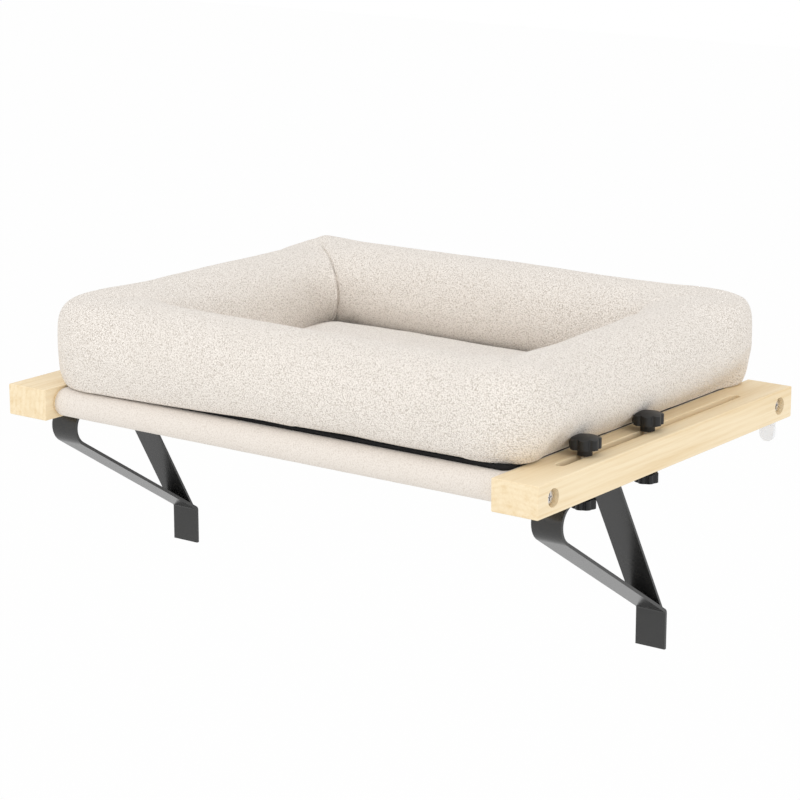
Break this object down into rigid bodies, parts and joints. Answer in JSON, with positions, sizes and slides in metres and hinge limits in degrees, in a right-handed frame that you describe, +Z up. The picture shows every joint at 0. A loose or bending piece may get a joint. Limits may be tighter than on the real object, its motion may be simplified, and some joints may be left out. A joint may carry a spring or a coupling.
{
  "type": "windowsill cat bed",
  "caption": "Soft bolster cat bed on a slotted pine rail frame that rests on a windowsill, held by sliding steel wall brackets and clear rear stops.",
  "frame": {"origin": "on the windowsill's top front edge at mid-width: Z is 0 on the rails' undersides and Y is 0 on the wall plane that the bracket feet press on", "axes": "+X along the bed's long side, +Y towards the window, +Z up"},
  "size_m": [0.51, 0.375, 0.2483],
  "materials": {
    "rail_wood": "bare sanded pine, satin",
    "dowel_wood": "bare sanded pine, satin",
    "sling_cloth": "ribbed woven, matte",
    "bed_cloth": "pebbled basket weave, matte",
    "pad_cloth": "pebbled basket weave, matte",
    "base_cloth": "non-slip woven, matte",
    "stop_plastic": "clear, glossy",
    "bracket_paint": "powder coated, satin",
    "knob_plastic": "moulded, matte",
    "stud_steel": "zinc plated",
    "screw_steel": "zinc plated",
    "insert_metal": "turned"
  },
  "bodies": {
    "frame": {"right_rail": "rail_wood", "left_rail": "rail_wood", "front_dowel": "dowel_wood", "rear_dowel": "dowel_wood", "dowel_inserts": "insert_metal", "rail_screws": "screw_steel", "sling": "sling_cloth", "right_rear_stop": "stop_plastic", "left_rear_stop": "stop_plastic", "stop_screws": "screw_steel"},
    "left_bracket": {"left_bracket_strap": "bracket_paint", "left_bracket_brace": "bracket_paint"},
    "right_bracket": {"right_bracket_strap": "bracket_paint", "right_bracket_brace": "bracket_paint"},
    "left_front_bolt": {"left_front_knob": "knob_plastic", "left_front_stud": "stud_steel"},
    "left_front_washer": {"left_front_washer": "stud_steel"},
    "left_front_nut": {"left_front_nut": "knob_plastic", "left_front_nut_insert": "insert_metal"},
    "left_rear_bolt": {"left_rear_knob": "knob_plastic", "left_rear_stud": "stud_steel"},
    "left_rear_washer": {"left_rear_washer": "stud_steel"},
    "left_rear_nut": {"left_rear_nut": "knob_plastic", "left_rear_nut_insert": "insert_metal"},
    "right_front_bolt": {"right_front_knob": "knob_plastic", "right_front_stud": "stud_steel"},
    "right_front_washer": {"right_front_washer": "stud_steel"},
    "right_front_nut": {"right_front_nut": "knob_plastic", "right_front_nut_insert": "insert_metal"},
    "right_rear_bolt": {"right_rear_knob": "knob_plastic", "right_rear_stud": "stud_steel"},
    "right_rear_washer": {"right_rear_washer": "stud_steel"},
    "right_rear_nut": {"right_rear_nut": "knob_plastic", "right_rear_nut_insert": "insert_metal"},
    "bed": {"bed_base": "base_cloth", "bed_bolster": "bed_cloth", "bed_pad": "pad_cloth"}
  },
  "joints": [
    {"name": "left_bracket_slide", "type": "slide", "parent": "frame", "child": "left_bracket", "axis": [0, 1, 0], "range_m": [-0.032, 0.131]},
    {"name": "left_front_knob_turn", "type": "hinge", "parent": "left_bracket", "child": "left_front_bolt", "pos_m": [-0.235, -0.1, 0.025], "axis": [0, 0, 1], "continuous": true},
    {"name": "left_front_washer_drop", "type": "slide", "parent": "left_front_bolt", "child": "left_front_washer", "axis": [0, 0, -1], "range_m": [0, 0.005]},
    {"name": "left_front_nut_turn", "type": "hinge", "parent": "left_front_washer", "child": "left_front_nut", "pos_m": [-0.235, -0.1, -0.0037], "axis": [0, 0, -1], "range_deg": [0, 1800]},
    {"name": "left_rear_knob_turn", "type": "hinge", "parent": "left_bracket", "child": "left_rear_bolt", "pos_m": [-0.235, -0.013, 0.025], "axis": [0, 0, 1], "continuous": true},
    {"name": "left_rear_washer_drop", "type": "slide", "parent": "left_rear_bolt", "child": "left_rear_washer", "axis": [0, 0, -1], "range_m": [0, 0.005]},
    {"name": "left_rear_nut_turn", "type": "hinge", "parent": "left_rear_washer", "child": "left_rear_nut", "pos_m": [-0.235, -0.013, -0.0037], "axis": [0, 0, -1], "range_deg": [0, 1800]},
    {"name": "right_bracket_slide", "type": "slide", "parent": "frame", "child": "right_bracket", "axis": [0, 1, 0], "range_m": [-0.032, 0.131]},
    {"name": "right_front_knob_turn", "type": "hinge", "parent": "right_bracket", "child": "right_front_bolt", "pos_m": [0.235, -0.1, 0.025], "axis": [0, 0, 1], "continuous": true},
    {"name": "right_front_washer_drop", "type": "slide", "parent": "right_front_bolt", "child": "right_front_washer", "axis": [0, 0, -1], "range_m": [0, 0.005]},
    {"name": "right_front_nut_turn", "type": "hinge", "parent": "right_front_washer", "child": "right_front_nut", "pos_m": [0.235, -0.1, -0.0037], "axis": [0, 0, -1], "range_deg": [0, 1800]},
    {"name": "right_rear_knob_turn", "type": "hinge", "parent": "right_bracket", "child": "right_rear_bolt", "pos_m": [0.235, -0.013, 0.025], "axis": [0, 0, 1], "continuous": true},
    {"name": "right_rear_washer_drop", "type": "slide", "parent": "right_rear_bolt", "child": "right_rear_washer", "axis": [0, 0, -1], "range_m": [0, 0.005]},
    {"name": "right_rear_nut_turn", "type": "hinge", "parent": "right_rear_washer", "child": "right_rear_nut", "pos_m": [0.235, -0.013, -0.0037], "axis": [0, 0, -1], "range_deg": [0, 1800]},
    {"name": "bed_lift", "type": "slide", "parent": "frame", "child": "bed", "axis": [0, 0, 1], "range_m": [0, 0.2]}
  ],
  "couplings": [
    {"joint": "left_front_washer_drop", "follows": "left_front_nut_turn", "m_per_rad": 0.00015915},
    {"joint": "left_rear_washer_drop", "follows": "left_rear_nut_turn", "m_per_rad": 0.00015915},
    {"joint": "right_front_washer_drop", "follows": "right_front_nut_turn", "m_per_rad": 0.00015915},
    {"joint": "right_rear_washer_drop", "follows": "right_rear_nut_turn", "m_per_rad": 0.00015915}
  ]
}
